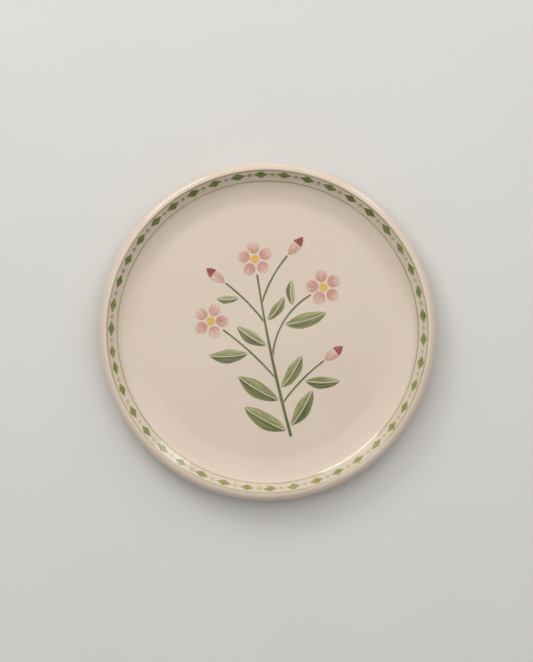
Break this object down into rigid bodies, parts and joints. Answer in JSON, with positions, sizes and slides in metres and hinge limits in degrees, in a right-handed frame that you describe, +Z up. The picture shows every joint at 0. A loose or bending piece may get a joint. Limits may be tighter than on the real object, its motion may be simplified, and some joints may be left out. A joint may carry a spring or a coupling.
{
  "type": "dinner plate",
  "caption": "Round ceramic dinner plate with a shallow well, sloped wall, rolled lip and foot ring, painted with a lozenge border and a leafy sprig; holds food.",
  "frame": {"origin": "centre of the foot ring's contact plane", "axes": "+Z up out of the well, +Y towards the top of the painted sprig"},
  "size_m": [0.26, 0.26, 0.0194],
  "materials": {
    "clay": "bare fired clay, matt and slightly gritty, seen at the foot",
    "glaze": "glossy cream glaze with faint mottling and specks",
    "line_olive": "fired enamel colour, glossy, hand brushed",
    "diamond_green": "fired enamel colour, glossy, hand brushed",
    "dot_pale_olive": "fired enamel colour, glossy, hand brushed",
    "stem_green": "fired enamel colour, glossy, hand brushed",
    "leaf_light_green": "fired enamel colour, glossy, hand brushed",
    "leaf_dark_green": "fired enamel colour, glossy, hand brushed",
    "petal_pink": "fired enamel colour, glossy, hand brushed",
    "centre_yellow": "fired enamel colour, glossy, hand brushed",
    "bud_pink": "fired enamel colour, glossy, hand brushed",
    "tip_red": "fired enamel colour, glossy, hand brushed"
  },
  "bodies": {
    "root": {"clay_body": "clay", "glaze_coat": "glaze", "base_glaze": "glaze", "outer_border_line": "line_olive", "inner_border_line": "line_olive", "border_diamonds": "diamond_green", "border_dots": "dot_pale_olive", "sprig_stems": "stem_green", "leaf_light_halves": "leaf_light_green", "leaf_dark_halves": "leaf_dark_green", "blossom_petals": "petal_pink", "blossom_centres": "centre_yellow", "bud_petals": "bud_pink", "bud_tips": "tip_red"}
  },
  "joints": []
}
